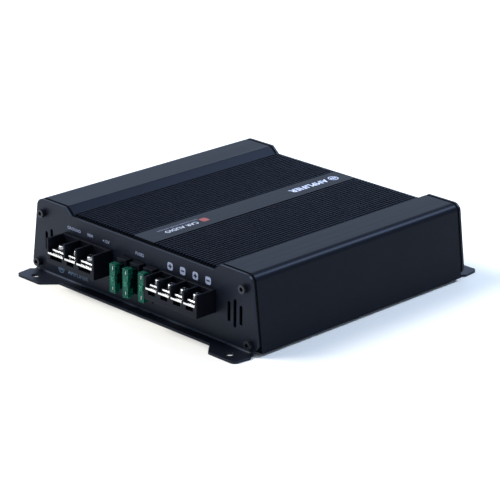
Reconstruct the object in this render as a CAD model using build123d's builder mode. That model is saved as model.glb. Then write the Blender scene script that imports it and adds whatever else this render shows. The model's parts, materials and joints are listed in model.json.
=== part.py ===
from build123d import *
import os

os.makedirs("parts", exist_ok=True)

# Car amplifier. All sizes are in millimetres. The origin is the centre of the underside, +Z is up, X runs
# along the end panels, and -Y is the side with the terminals and fuses.

# ---- housing
width = 206.0  # across the foot of the side walls
lean = 6.6  # each side wall leans in by this much at the top
height = 50.0  # top of the rails
depth = 188.0  # over the outer faces of the two end panels
sheet = 1.6  # end panel sheet
gasket = 2.0  # dark seal between end panel and casing
casing_length = depth - 2 * (sheet + gasket)
wall = 3.0  # casing side wall
rail_break = 70.3  # |X| where the flat rail top starts to slope down
slope_foot = 64.6  # |X| where that slope reaches the end panel's flat top edge
panel_flat = 45.2  # height of the end panels between the rails
valley = 44.7  # bottom of the gaps between the fins
fin_top = 46.7
fin_pitch = 2.6
fin_thickness = 1.15
fins_per_zone = 21
strip_half = 9.3  # half width of the flat strip between the two fin zones
rail_corner = 5.5  # outer radius along the top of each rail
ceiling = 41.6  # underside of the finned plate
rail_ceiling = 46.2  # underside of the rails
floor_open = 2.0  # lower edge of the casing, above the ground
slope_step = 0.6  # the casing's slopes start this far inside the panels'
slope_wall = 1.5
slope_round = 0.8  # radius where the rail top meets the slope
ledge_edge = 88.0  # inner edge of the ledges that the base plate is screwed to
ledge_thickness = 2.5
rib_face = 93.0  # vertical face that the transistors are clamped to
rib_low, rib_high = 15.5, 36.0
rib_lead = 1.5  # slope above and below that face
fin_root = 0.4  # the fins reach this far into the plate below them
first_fin = 0.75  # from the strip to the middle of the first fin, in pitches
boss_web = (91.5, 44.0, 8.0, 5.0)  # centre and size of the web between upper boss and rail

# ---- end panels
bend_inner = 1.5  # radius of the bend between panel and lip
bend_end = 98.5  # the bend stops this far from the middle
lip = 7.0  # lip along the foot of the panel
foot_reach = 16.5  # how far the mounting feet stand out
foot_hole_x = 88.4
foot_hole_out = 9.6
foot_hole = 2.75  # radius
foot_hole_spots = [(side * foot_hole_x, -depth / 2 - foot_hole_out) for side in (-1, 1)]
foot_flare = (2.2, 2.5)  # the foot widens by the first over the second
foot_toe = 0.8  # what is left of that at the foot's front
foot_inner = (77.5, 69.0)  # |X| of the foot's inner end, at its front and at the lip
foot_corners = (3.5, 1.5, 2.0)  # radii: outer front, inner front, at the lip
panel_corner = 4.5  # lower corners of the panel
screw_spots = [(91.0, 41.0), (95.8, 7.0)]  # |X|, Z of the end panel screws
vent_columns = [(78.1, 12.8), (83.1, 18.0), (88.1, 12.6)]  # |X|, length
vent_width = 2.5
vent_height = 23.0
panel_face = depth / 2
panel_back = panel_face - sheet

# ---- screws
screw_boss = 3.5  # radius of the bosses that take the end panel screws
m3 = 1.5  # shank radius
m3_tap = 1.55
m3_clear = 1.7
m3_head = 2.8
m3_sink = 2.75  # countersink
play = 0.05  # between close fitting faces
seat = 0.2  # blocks and jacks stop this far behind the end panels
panel_screw_length = 12.0
panel_screw_depth = 10.5  # of the tapped bores
cap_height = 3.0
hex_socket = (1.45, 1.6)  # radius, depth
pan_height = 2.0
cross_slot = (3.0, 0.7)
cross_depth = 1.0
board_screw_length = 6.0
base_screw_grid = (2 * 93.0, 68.0, 2, 3)  # spacing and count, in X and Y
base_screw_length = 6.0
base_screw_depth = 5.0
sink_height = 1.2
clamp_screw_grid = (30.0, 1.0, 4, 1)
clamp_screw_z = 24.5
clamp_screw_depth = 3.6
clamp_screw_length = 10.0

# ---- base plate and board
base_top = 3.5
board_bottom = 9.0
board_top = 10.6
board_half_x = 90.0
board_half_y = 89.5
base_half = 99.4
spacer_radius = 3.2
gasket_inset = 0.8  # the seal lies this far inside the panel's outline
gasket_windows = ((168.0, 35.0), (180.6, 22.0))
gasket_window_z = 22.5

# ---- terminal blocks
block_reach = 15.5  # the blocks stand this far out of the panel
block_front = panel_face + block_reach
barrier = 1.5
plate_thickness = 1.2
plate_lip = 0.4  # the plates stand this far out of the block
bay_depth = 13.0
screw_back = 6.5  # screw axis behind the front of the block
clamp_gap = 0.8  # under the clamp washer as stored
clamp_thickness = 1.2
m4 = 2.0  # terminal screw shank radius
clamp_depth = 9.6
clamp_corner = 0.6
clamp_play = {True: 3.6, False: 2.4}  # a clamp is narrower than its bay: wide bays, narrow bays
wide_bay = 12.0  # bays over this take the larger screws
head_height = 2.9
head_round = 0.9
head_slot = (1.0, 1.3)  # width, depth
plate_play = 0.1
tail_side = 1.5  # the tails are narrower than the bays, on each side
tail_run = 8.2  # flat part of each tail
tail_slot = 8.0
shoulder = 2.0  # the block's rear part is this much wider and lower
pocket_side = 1.7
pocket_depth = 10.0
pocket_height = 3.2
block_back = 82.0
power_left = -69.7
power_bays = [14.4, 9.8, 14.4]
power_levels = (17.1, 24.7, 33.5)  # bottom, top of the plates, top
power_head = 3.5
speaker_left = 21.1
speaker_bays = [9.5, 9.5, 9.5, 9.5]
speaker_levels = (18.6, 26.6, 33.3)
speaker_head = 2.8

# ---- fuses
fuse_x = [-10.9, 0.95, 12.8]
fuse_reach = [13.0, 13.0, 11.0]  # the third one is pushed home
fuse_z = 22.1
fuse_width = 19.1
fuse_thickness = 5.1
fuse_head = 4.3
fuse_body = 12.3
fuse_corner = 0.8
fuse_stem = (4.0, 16.2, 0.6)  # thinner part behind the head: size and corner
fuse_recess = (9.2, 6.4)  # in each flat side
fuse_recess_centre = 6.6  # behind the fuse's face
fuse_web = 2.8  # thickness left between the recesses
test_window = (1.2, 2.6, 2.4)  # size and depth
test_window_offset = 6.6
blade_slot = 4.0  # how deep the blades are moulded in
blade = (0.65, 5.2, 7.0)
blade_offset = 4.7
socket_reach = 5.3
socket_size = (8.4, 21.5)
socket_back = 83.0
socket_bore = (4.6, 17.0)
socket_floor = 1.7  # of that bore, behind the panel's face
socket_step = 1.0
clip_pocket = (3.2, 6.6)
clip_size = (1.9, 5.0)
clip_gap = 0.8
clip_back = 1.5
clip_base = 0.5
clip_length = 7.5

# ---- rear panel
rca_x = [-64.0, -46.0]
rca_z = 24.0
rca_length = 9.0  # of each jack outside the panel
rca_inside = 5.8
rca_radii = {"hole": 4.8, "collar": 4.6, "bore": 4.15, "shell": 4.1, "shell bore": 3.6, "flange": 6.2}
rca_core = {"flange bore": 3.8, "insulator": 3.55, "insulator bore": 1.75, "contact": 1.7, "contact bore": 1.2}
rca_sunk = 1.6  # the insulator's face, below the shell's rim
rca_core_length = 13.0
rca_box = (34.0, 16.0, 9.0)
rca_bore_depth = 6.0
rca_flange = 1.0
rca_foot_back = 3.4
knob_x = {"level_knob": -12.0, "low_pass_knob": 8.0, "bass_knob": 28.0}
knob_z = 25.0
knob_radius = 4.5
knob_flutes = (18, 4.75, 0.45)  # count, distance from the axis, radius
knob_reach = 5.6
knob_height = 5.2
knob_slot = (0.9, 3.6, 0.6)
knob_slot_rise = 2.4
knob_hole = 3.8
shaft = 2.0  # radius
shaft_length = 10.0
pot_body = (11.0, 12.0, 7.0)
pot_neck = 3.4
pot_bore = 9.0
switch_x = 45.0
switch_z = 25.0
switch_travel = 3.0
switch_hole = (7.4, 4.6)
switch_body = (13.0, 6.4)
switch_slot = 3.4
switch_depth = 6.0
lever = (3.0, 3.2)
lever_reach = 2.4
lever_round = 0.4
remote_x = 62.0
remote_z = 21.5
remote_hole = (13.7, 13.5)
remote_body = (13.2, 13.0, 18.0)
remote_rim = 0.5
remote_foot = (16.0, 14.0)  # height of its middle, length
remote_opening = (9.8, 6.8, 20.8)  # size and height of its middle
remote_latch = (6.2, 2.6, 25.4)
remote_depth = 12.0
led_spots = [(-30.0, 29.0), (-30.0, 21.0)]
led_hole = 1.7
led_radius = 1.5
led_reach = 0.4
control_board_x = 9.0
control_board_width = 86.0
control_board_top = 38.0
control_board_y = 78.4
control_board_back = 80.0


def outer_x(z):
    """Half width of the outside at height z."""
    return width / 2 - lean * z / height


def plane_y(y):
    """Upright plane at Y = y. A sketch on it reads X and Z, and extruding it runs towards -Y."""
    return Plane.XZ.offset(-y)


def save(node, name):
    """Labels a finished sub-part and writes it."""
    node.part.label = name
    export_step(node.part, f"parts/{name}.step")


# ======================================================================= housing
ledge_top = base_top + ledge_thickness

# Finned aluminium extrusion, open below: two rails, two fin zones and a flat strip between them.
with BuildPart() as heatsink_casing:
    with BuildSketch(plane_y(casing_length / 2)):
        with BuildLine():
            Polyline(
                (0, ceiling),
                (0, valley),
                (slope_foot - slope_step, valley),
                (rail_break, height),
                (outer_x(height), height),
                (outer_x(floor_open), floor_open),
                (outer_x(floor_open) - wall, floor_open),
                (outer_x(base_top) - wall, base_top),
                (ledge_edge, base_top),
                (ledge_edge, ledge_top),
                (outer_x(ledge_top) - wall, ledge_top),
                (outer_x(rib_low - rib_lead) - wall, rib_low - rib_lead),
                (rib_face, rib_low),
                (rib_face, rib_high),
                (outer_x(rib_high + rib_lead) - wall, rib_high + rib_lead),
                (outer_x(rail_ceiling) - wall, rail_ceiling),
                (rail_break - slope_wall, rail_ceiling),
                (slope_foot - slope_wall, ceiling),
                close=True,
            )
        make_face()
        for x, z in screw_spots:
            with Locations((x, z)):
                Circle(screw_boss)
        with Locations(boss_web[:2]):
            Rectangle(*boss_web[2:])
        for fin in range(fins_per_zone):
            with Locations((strip_half + fin_pitch * (fin + first_fin), (valley + fin_top - fin_root) / 2)):
                Rectangle(fin_thickness, fin_top - valley + fin_root)
        with Locations((strip_half / 2, (ceiling + fin_top) / 2)):
            Rectangle(strip_half, fin_top - ceiling)
        mirror(about=Plane.YZ)
    extrude(amount=casing_length)
    rail_edges = heatsink_casing.edges().filter_by(Axis.Y).group_by(Axis.Z)[-1].sort_by(Axis.X)
    fillet([rail_edges[0], rail_edges[-1]], radius=rail_corner)
    fillet([rail_edges[1], rail_edges[-2]], radius=slope_round)
    for side in (-1, 1):
        for x, z in screw_spots:
            for y in (casing_length / 2, panel_screw_depth - casing_length / 2):
                with BuildSketch(plane_y(y)):
                    with Locations((side * x, z)):
                        Circle(m3_tap)
                extrude(amount=panel_screw_depth, mode=Mode.SUBTRACT)
    with BuildSketch(Plane.XY.offset(base_top)):
        with GridLocations(*base_screw_grid):
            Circle(m3_tap)
    extrude(amount=base_screw_depth, mode=Mode.SUBTRACT)
    for side in (-1, 1):
        with BuildSketch(Plane.YZ.offset(side * rib_face)):
            with GridLocations(*clamp_screw_grid):
                with Locations((0, clamp_screw_z)):
                    Circle(m3_tap)
        extrude(amount=side * clamp_screw_depth, mode=Mode.SUBTRACT)
save(heatsink_casing, "heatsink_casing")


def panel_outline(inset):
    """Outline of an end panel in X and Z, drawn inset mm inside the casing's outside."""
    with BuildSketch() as outline:
        with BuildLine():
            Polyline(
                (0, panel_flat),
                (slope_foot, panel_flat),
                (rail_break, height),
                (outer_x(height), height),
                (outer_x(sheet + bend_inner), sheet + bend_inner),
                (0, sheet + bend_inner),
                close=True,
            )
        make_face()
        mirror(about=Plane.YZ)
        top_corners = outline.vertices().group_by(Axis.Y)[-1].sort_by(Axis.X)
        fillet([top_corners[0], top_corners[-1]], radius=rail_corner)
        low_corners = outline.vertices().group_by(Axis.Y)[0].sort_by(Axis.X)
        fillet([low_corners[0], low_corners[-1]], radius=panel_corner)
        if inset:
            offset(amount=-inset, mode=Mode.REPLACE)
    return outline.sketch


# Bent sheet: upright panel, a lip along its foot and a mounting foot at each end of the lip. Both end panels
# start from this blank, drawn for the terminal side.
def panel_blank():
    with BuildPart() as blank:
        with BuildSketch(plane_y(-panel_back)):
            add(panel_outline(0))
        extrude(amount=sheet)
        bend_centre = (-panel_face - bend_inner, sheet + bend_inner)
        spare = 10.0
        with BuildSketch(Plane.YZ.offset(-bend_end)):
            with Locations(bend_centre):
                Circle(bend_inner + sheet)
                Circle(bend_inner, mode=Mode.SUBTRACT)
            # squares that leave one quarter of the ring
            with Locations(
                (bend_centre[0] - spare / 2, bend_centre[1]), (bend_centre[0], bend_centre[1] + spare / 2)
            ):
                Rectangle(spare, spare, mode=Mode.SUBTRACT)
        extrude(amount=2 * bend_end)
        with BuildSketch(Plane.XY) as sole:
            with BuildLine():
                Polyline(
                    (0, bend_centre[0]),
                    (bend_end, bend_centre[0]),
                    (bend_end + foot_flare[0], bend_centre[0] - foot_flare[1]),
                    (bend_end + foot_toe, -panel_face - foot_reach),
                    (foot_inner[0], -panel_face - foot_reach),
                    (foot_inner[1], -panel_face - lip),
                    (0, -panel_face - lip),
                    close=True,
                )
            make_face()
            front = sole.vertices().group_by(Axis.Y)[0].sort_by(Axis.X)
            fillet(front[-1], radius=foot_corners[0])
            fillet(sole.vertices().group_by(Axis.Y)[0].sort_by(Axis.X)[0], radius=foot_corners[1])
            fillet(sole.vertices().filter_by(lambda v: abs(v.X - foot_inner[1]) < 0.5), radius=foot_corners[2])
            mirror(about=Plane.YZ)
            with Locations(*foot_hole_spots):
                Circle(foot_hole, mode=Mode.SUBTRACT)
        extrude(amount=sheet)
        with BuildSketch(plane_y(-panel_back)):
            for side in (-1, 1):
                for x, z in screw_spots:
                    with Locations((side * x, z)):
                        Circle(m3_clear)
                for x, length in vent_columns:
                    with Locations((side * x, vent_height)):
                        SlotOverall(length, vent_width, rotation=90)
        extrude(amount=sheet, mode=Mode.SUBTRACT)
    return blank.part


cutout_gap = 0.25
power_width = sum(power_bays) + barrier * (len(power_bays) + 1)
speaker_width = sum(speaker_bays) + barrier * (len(speaker_bays) + 1)

with BuildPart() as front_end_panel:
    add(panel_blank())
    with BuildSketch(plane_y(-panel_back)):
        for left, across, levels in (
            (power_left, power_width, power_levels),
            (speaker_left, speaker_width, speaker_levels),
        ):
            with Locations((left + across / 2, (levels[0] + levels[2]) / 2)):
                Rectangle(across + 2 * cutout_gap, levels[2] - levels[0] + 2 * cutout_gap)
        with Locations(*[(x, fuse_z) for x in fuse_x]):
            Rectangle(socket_size[0] + 2 * cutout_gap, socket_size[1] + 2 * cutout_gap)
    extrude(amount=sheet, mode=Mode.SUBTRACT)
save(front_end_panel, "front_end_panel")

with BuildPart() as rear_end_panel:
    add(panel_blank().rotate(Axis.Z, 180))
    with BuildSketch(plane_y(panel_face)):
        with Locations(*[(x, rca_z) for x in rca_x]):
            Circle(rca_radii["hole"])
        with Locations(*[(x, knob_z) for x in knob_x.values()]):
            Circle(knob_hole)
        with Locations((switch_x, switch_z)):
            Rectangle(*switch_hole)
        with Locations((remote_x, remote_z)):
            Rectangle(*remote_hole)
        with Locations(*led_spots):
            Circle(led_hole)
    extrude(amount=sheet, mode=Mode.SUBTRACT)
save(rear_end_panel, "rear_end_panel")


def gasket_ring(y):
    """Seal between a panel and the casing, with its far face at Y = y."""
    with BuildPart() as ring:
        with BuildSketch(plane_y(y)):
            add(panel_outline(gasket_inset))
            with Locations((0, gasket_window_z)):
                for window in gasket_windows:
                    Rectangle(*window, mode=Mode.SUBTRACT)
            for side in (-1, 1):
                for x, z in screw_spots:
                    with Locations((side * x, z)):
                        Circle(m3_clear, mode=Mode.SUBTRACT)
        extrude(amount=gasket)
    return ring


front_gasket = gasket_ring(-casing_length / 2)
save(front_gasket, "front_gasket")
rear_gasket = gasket_ring(panel_back)
save(rear_gasket, "rear_gasket")

# Base plate, let in between the feet of the side walls, with countersunk screws from below.
with BuildPart() as bottom_plate:
    with BuildSketch(Plane.XY.offset(floor_open)):
        Rectangle(2 * base_half, casing_length)
    extrude(amount=base_top - floor_open)
    with Locations(Plane.XY.offset(floor_open) * Rot(180, 0, 0)):
        with GridLocations(*base_screw_grid):
            CounterSinkHole(radius=m3_clear, counter_sink_radius=m3_sink, depth=base_top - floor_open)
save(bottom_plate, "bottom_plate")

with BuildPart() as bottom_plate_screws:
    with GridLocations(*base_screw_grid):
        with Locations((0, 0, floor_open)):
            Cone(m3_sink - play, m3, sink_height, align=(Align.CENTER, Align.CENTER, Align.MIN))
            Cylinder(m3, base_screw_length, align=(Align.CENTER, Align.CENTER, Align.MIN))
save(bottom_plate_screws, "bottom_plate_screws")

# Socket cap screws that hold the end panels: four in each.
with BuildPart() as end_panel_screws:
    for y, turn in ((panel_face, 1), (-panel_face, -1)):
        for side in (-1, 1):
            for x, z in screw_spots:
                with BuildSketch(plane_y(y)):
                    with Locations((side * x, z)):
                        Circle(m3)
                extrude(amount=turn * panel_screw_length)
                with BuildSketch(plane_y(y)):
                    with Locations((side * x, z)):
                        Circle(m3_head)
                extrude(amount=-turn * cap_height)
                with BuildSketch(plane_y(y + turn * cap_height)):
                    with Locations((side * x, z)):
                        RegularPolygon(hex_socket[0], 6)
                extrude(amount=turn * hex_socket[1], mode=Mode.SUBTRACT)
save(end_panel_screws, "end_panel_screws")

# ======================================================================= board
spacer_spots = [(x, y) for x in (-78.0, 78.0) for y in (-70.0, 8.0, 72.0)]

with BuildPart() as main_board:
    with BuildSketch(Plane.XY.offset(board_bottom)):
        Rectangle(2 * board_half_x, 2 * board_half_y)
        with Locations(*spacer_spots):
            Circle(m3_clear, mode=Mode.SUBTRACT)
    extrude(amount=board_top - board_bottom)
save(main_board, "main_board")

with BuildPart() as board_spacers:
    with BuildSketch(Plane.XY.offset(base_top)):
        with Locations(*spacer_spots):
            RegularPolygon(spacer_radius, 6)
            Circle(m3_tap, mode=Mode.SUBTRACT)
    extrude(amount=board_bottom - base_top)
save(board_spacers, "board_spacers")

with BuildPart() as board_screws:
    with BuildSketch(Plane.XY.offset(board_top)):
        with Locations(*spacer_spots):
            Circle(m3_head)
    extrude(amount=pan_height)
    with BuildSketch(Plane.XY.offset(board_top)):
        with Locations(*spacer_spots):
            Circle(m3)
    extrude(amount=-board_screw_length)
    with BuildSketch(Plane.XY.offset(board_top + pan_height)):
        with Locations(*spacer_spots):
            Rectangle(*cross_slot)
            Rectangle(*reversed(cross_slot))
    extrude(amount=-cross_depth, mode=Mode.SUBTRACT)
save(board_screws, "board_screws")


# ======================================================================= terminals
def bay_centres(left, bays):
    """X of the middle of each bay of a terminal block."""
    centres = []
    edge = left + barrier
    for bay in bays:
        centres.append(edge + bay / 2)
        edge += bay + barrier
    return centres


def terminal_block(left, bays, levels):
    """Barrier block: open bays above a floor of metal plates, with a pocket under each for the screw."""
    bottom, plate_top, top = levels
    across = sum(bays) + barrier * (len(bays) + 1)
    middle = left + across / 2
    with BuildPart() as block:
        with BuildSketch(plane_y(-panel_back + seat)):
            with Locations((middle, (bottom + top) / 2)):
                Rectangle(across, top - bottom)
        extrude(amount=block_front - panel_back + seat)
        with BuildSketch(plane_y(-block_back)):
            with Locations((middle, (board_top + top - shoulder) / 2)):
                Rectangle(across + shoulder, top - shoulder - board_top)
        extrude(amount=panel_back - seat - block_back)
        for centre, bay in zip(bay_centres(left, bays), bays):
            with BuildSketch(plane_y(-block_front + bay_depth)):
                with Locations((centre, (plate_top - plate_thickness + top) / 2)):
                    Rectangle(bay, top - plate_top + plate_thickness)
            extrude(amount=bay_depth, mode=Mode.SUBTRACT)
            with BuildSketch(plane_y(-block_front + pocket_depth)):
                with Locations((centre, plate_top - plate_thickness - pocket_height / 2)):
                    Rectangle(bay - 2 * pocket_side, pocket_height)
            extrude(amount=pocket_depth, mode=Mode.SUBTRACT)
            with BuildSketch(plane_y(-block_back)):
                with Locations((centre, plate_top - plate_thickness / 2)):
                    Rectangle(bay - 2 * tail_side, plate_thickness)
            extrude(amount=block_front - bay_depth - block_back, mode=Mode.SUBTRACT)
            with BuildSketch(plane_y(-block_back)):
                with Locations((centre, (board_top + plate_top) / 2)):
                    Rectangle(bay - 2 * tail_side, plate_top - board_top)
            extrude(amount=tail_slot, mode=Mode.SUBTRACT)
    return block


def terminal_plates(left, bays, levels):
    """Plated brass strips: a tapped plate on the floor of each bay, with a tail down to the board."""
    plate_top = levels[1]
    with BuildPart() as plates:
        for centre, bay in zip(bay_centres(left, bays), bays):
            with BuildSketch(Plane.XY.offset(plate_top)):
                with Locations((centre, -block_front + bay_depth / 2 - plate_lip / 2)):
                    Rectangle(bay - plate_play, bay_depth + plate_lip)
                with Locations((centre, -block_front + bay_depth + tail_slot / 2)):
                    Rectangle(bay - 2 * tail_side, tail_run)
                with Locations((centre, -block_front + screw_back)):
                    Circle(m4 + play, mode=Mode.SUBTRACT)
            extrude(amount=-plate_thickness)
            with BuildSketch(Plane.XY.offset(plate_top)):
                with Locations((centre, -block_front + bay_depth + tail_slot)):
                    Rectangle(bay - 2 * tail_side - 2 * plate_play, plate_thickness)
            extrude(amount=-(plate_top - board_top))
    return plates


terminals = []
for title, left, bays, levels, head_radius in (
    ("power", power_left, power_bays, power_levels, power_head),
    ("speaker", speaker_left, speaker_bays, speaker_levels, speaker_head),
):
    save(terminal_block(left, bays, levels), f"{title}_terminal_block")
    save(terminal_plates(left, bays, levels), f"{title}_terminal_plates")
    for number, centre in enumerate(bay_centres(left, bays), start=1):
        bay = bays[number - 1]
        radius = head_radius if bay > wide_bay else speaker_head
        terminals.append((f"{title}_{number}", centre, levels[1], bay, radius))

# Each terminal has a square clamp washer that rises and falls with its screw.
for title, centre, plate_top, bay, head_radius in terminals:
    clamp_low = plate_top + clamp_gap
    clamp_width = bay - clamp_play[bay > wide_bay]
    with BuildPart() as clamp:
        with BuildSketch(Plane.XY.offset(clamp_low)):
            with Locations((centre, -block_front + screw_back)):
                Rectangle(clamp_width, clamp_depth)
                Circle(m4 + 2 * play, mode=Mode.SUBTRACT)
        extrude(amount=clamp_thickness)
        fillet(clamp.edges().filter_by(Axis.Z).group_by(SortBy.LENGTH)[-1], radius=clamp_corner)
    save(clamp, f"{title}_clamp")

    head_low = clamp_low + clamp_thickness + play
    with BuildPart() as screw:
        with BuildSketch(Plane.XY.offset(head_low)):
            with Locations((centre, -block_front + screw_back)):
                Circle(head_radius)
        extrude(amount=head_height)
        fillet(screw.edges().group_by(Axis.Z)[-1], radius=head_round)
        with BuildSketch(Plane.XY.offset(head_low + head_height)):
            with Locations((centre, -block_front + screw_back)):
                Rectangle(2 * head_radius, head_slot[0])
                Rectangle(head_slot[0], 1.5 * head_radius)
        extrude(amount=-head_slot[1], mode=Mode.SUBTRACT)
        with BuildSketch(Plane.XY.offset(head_low)):
            with Locations((centre, -block_front + screw_back)):
                Circle(m4)
        extrude(amount=-(head_low - plate_top + plate_thickness + m4))
    save(screw, f"{title}_screw")

# ======================================================================= fuses
with BuildPart() as fuse_sockets:
    for x in fuse_x:
        with BuildSketch(plane_y(-socket_back)):
            with Locations((x, fuse_z)):
                Rectangle(*socket_size)
        extrude(amount=panel_face + socket_reach - socket_back)
        with BuildSketch(plane_y(-socket_back)):
            with Locations((x, (board_top + fuse_z) / 2)):
                Rectangle(socket_size[0], fuse_z - board_top)
        extrude(amount=panel_back - socket_step - socket_back)
        with BuildSketch(plane_y(-panel_face + socket_floor)):
            with Locations((x, fuse_z)):
                Rectangle(*socket_bore)
        extrude(amount=socket_reach + socket_floor, mode=Mode.SUBTRACT)
        with BuildSketch(plane_y(-socket_back - clip_back)):
            with Locations((x, fuse_z + blade_offset), (x, fuse_z - blade_offset)):
                Rectangle(*clip_pocket)
        extrude(amount=clip_length + clip_back, mode=Mode.SUBTRACT)
save(fuse_sockets, "fuse_sockets")

with BuildPart() as fuse_clips:
    for x in fuse_x:
        for z in (fuse_z - blade_offset, fuse_z + blade_offset):
            with BuildSketch(plane_y(-socket_back - clip_back)):
                with Locations((x, z)):
                    Rectangle(*clip_size)
            extrude(amount=clip_length)
            with BuildSketch(plane_y(-socket_back - clip_back - clip_base)):
                with Locations((x, z)):
                    Rectangle(clip_gap, clip_size[1])
            extrude(amount=clip_length - clip_base, mode=Mode.SUBTRACT)
save(fuse_clips, "fuse_clips")

# Blade fuses: a translucent body with a wider head, and two flat blades.
for number, (x, reach) in enumerate(zip(fuse_x, fuse_reach), start=1):
    front = panel_face + reach
    with BuildPart() as body:
        with BuildSketch(plane_y(-front + fuse_head)):
            with Locations((x, fuse_z)):
                RectangleRounded(fuse_thickness, fuse_width, fuse_corner)
        extrude(amount=fuse_head)
        with BuildSketch(plane_y(-front + fuse_body)):
            with Locations((x, fuse_z)):
                RectangleRounded(*fuse_stem)
        extrude(amount=fuse_body - fuse_head)
        for side in (-1, 1):
            with BuildSketch(Plane.YZ.offset(x + side * fuse_web / 2)):
                with Locations((-front + fuse_recess_centre, fuse_z)):
                    Rectangle(*fuse_recess)
            extrude(amount=side * fuse_thickness, mode=Mode.SUBTRACT)
        with BuildSketch(plane_y(-front)):
            with Locations((x, fuse_z + test_window_offset), (x, fuse_z - test_window_offset)):
                Rectangle(*test_window[:2])
        extrude(amount=-test_window[2], mode=Mode.SUBTRACT)
        with BuildSketch(plane_y(-front + fuse_body)):
            with Locations((x, fuse_z + blade_offset), (x, fuse_z - blade_offset)):
                Rectangle(blade[0], blade[1])
        extrude(amount=blade_slot, mode=Mode.SUBTRACT)
    save(body, f"fuse_{number}_body")

    with BuildPart() as blades:
        with BuildSketch(plane_y(-front + fuse_body + blade[2])):
            with Locations((x, fuse_z + blade_offset), (x, fuse_z - blade_offset)):
                Rectangle(blade[0], blade[1])
        extrude(amount=blade[2] + blade_slot)
    save(blades, f"fuse_{number}_blades")


# ======================================================================= parts on the board
input_capacitor = (8.0, 25.0, 1.0)  # radius, height, rounding
input_capacitor_spots = [(x, y) for x in (-8.0, 12.0) for y in (-66.0, -46.0)]
output_capacitor = (17.0, 8.0, 14.0)
output_capacitor_spots = [(x, y) for x in (26.0, 46.0) for y in (-8.0, 10.0)]
output_capacitor_round = 0.8
turn_play = 0.2  # between core and turns
transistor_rows = [-60.0, -30.0, 0.0, 30.0, 60.0]
transistor = (4.5, 10.0, 15.0)
transistor_bottom = 17.0
leg = (0.6, 0.9, 6.4)
leg_pitch = 2.5
leg_inset = 0.8
pad_size = (140.0, 17.0)
bar_size = (136.0, 8.0)
pad_face = rib_face - 0.4
body_face = pad_face - transistor[0]
bar_face = body_face - 2.0


def toroid(centre, radii, tall, wire, turns):
    """Ring core and its winding of closed turns, standing on the board."""
    inner, outer = radii
    low = board_top + wire
    with BuildPart() as core:
        with BuildSketch(Plane.XY.offset(low)):
            with Locations(centre):
                Circle(outer)
                Circle(inner, mode=Mode.SUBTRACT)
        extrude(amount=tall)
    with BuildPart() as turn:
        with BuildSketch(Plane.XZ):
            with Locations(((inner + outer) / 2, low + tall / 2)):
                RectangleRounded(outer - inner + 2 * wire + turn_play, tall + 2 * wire, wire)
                Rectangle(outer - inner + turn_play, tall, mode=Mode.SUBTRACT)
        extrude(amount=wire / 2, both=True)
    with BuildPart() as winding:
        with Locations((centre[0], centre[1], 0)):
            with PolarLocations(0, turns):
                add(turn.part)
    return core, winding


transformer_core, transformer_winding = toroid((-46.0, -34.0), (10.0, 22.0), 16.0, 1.4, 26)
save(transformer_core, "transformer_core")
save(transformer_winding, "transformer_winding")
inductor_core, inductor_winding = toroid((46.0, -40.0), (7.5, 16.0), 12.0, 1.6, 18)
save(inductor_core, "inductor_core")
save(inductor_winding, "inductor_winding")

with BuildPart() as input_capacitors:
    with BuildSketch(Plane.XY.offset(board_top)):
        with Locations(*input_capacitor_spots):
            Circle(input_capacitor[0])
    extrude(amount=input_capacitor[1])
    fillet(input_capacitors.edges().group_by(Axis.Z)[-1], radius=input_capacitor[2])
save(input_capacitors, "input_capacitors")

with BuildPart() as output_capacitors:
    with BuildSketch(Plane.XY.offset(board_top)):
        with Locations(*output_capacitor_spots):
            Rectangle(*output_capacitor[:2])
    extrude(amount=output_capacitor[2])
    fillet(output_capacitors.edges().group_by(Axis.Z)[-1], radius=output_capacitor_round)
save(output_capacitors, "output_capacitors")

# Power transistors in a row along each side wall, on insulating strips, held by a clamp bar.
leg_spots = [(body_face + leg_inset, y + k * leg_pitch) for y in transistor_rows for k in (-1, 0, 1)]

with BuildPart() as power_transistors:
    with BuildSketch(Plane.XY.offset(transistor_bottom)):
        with Locations(*[((body_face + pad_face) / 2, y) for y in transistor_rows]):
            Rectangle(*transistor[:2])
    extrude(amount=transistor[2])
    with BuildSketch(Plane.XY.offset(board_top)):
        with Locations(*leg_spots):
            Rectangle(*leg[:2])
    extrude(amount=leg[2])
    mirror(about=Plane.YZ)
save(power_transistors, "power_transistors")

with BuildPart() as insulating_pads:
    with BuildSketch(Plane.YZ.offset(pad_face)):
        with Locations((0, clamp_screw_z)):
            Rectangle(*pad_size)
            with GridLocations(*clamp_screw_grid):
                Circle(m3_clear, mode=Mode.SUBTRACT)
    extrude(amount=rib_face - pad_face)
    mirror(about=Plane.YZ)
save(insulating_pads, "insulating_pads")

with BuildPart() as clamp_bars:
    with BuildSketch(Plane.YZ.offset(bar_face)):
        with Locations((0, clamp_screw_z)):
            Rectangle(*bar_size)
            with GridLocations(*clamp_screw_grid):
                Circle(m3_clear, mode=Mode.SUBTRACT)
    extrude(amount=body_face - bar_face)
    mirror(about=Plane.YZ)
save(clamp_bars, "clamp_bars")

with BuildPart() as clamp_screws:
    with BuildSketch(Plane.YZ.offset(bar_face)):
        with Locations((0, clamp_screw_z)):
            with GridLocations(*clamp_screw_grid):
                Circle(m3_head)
    extrude(amount=-pan_height)
    with BuildSketch(Plane.YZ.offset(bar_face)):
        with Locations((0, clamp_screw_z)):
            with GridLocations(*clamp_screw_grid):
                Circle(m3)
    extrude(amount=clamp_screw_length)
    mirror(about=Plane.YZ)
save(clamp_screws, "clamp_screws")

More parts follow.
